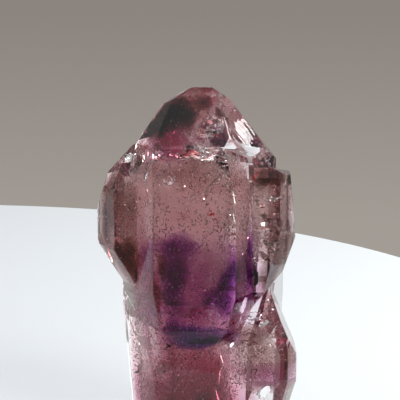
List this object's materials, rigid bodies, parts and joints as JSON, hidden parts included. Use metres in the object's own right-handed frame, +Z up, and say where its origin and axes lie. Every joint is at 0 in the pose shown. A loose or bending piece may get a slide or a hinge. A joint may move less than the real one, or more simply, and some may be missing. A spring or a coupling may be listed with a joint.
{
  "type": "amethyst crystal",
  "caption": "Clear smoky to violet sceptre quartz: a broad faceted head over a narrower stem with a small side crystal, cut flat at the bottom to stand.",
  "frame": {"origin": "middle of the crystal's outline on its flat cut base", "axes": "+Z up along the crystal's long axis, -Y towards the broad front face, +X to its right"},
  "size_m": [0.0278, 0.0184, 0.0529],
  "materials": {
    "amethyst": "natural crystal faces, glossy, see-through with violet and smoky zones"
  },
  "bodies": {
    "root": {"amethyst_crystal": "amethyst"}
  },
  "joints": []
}
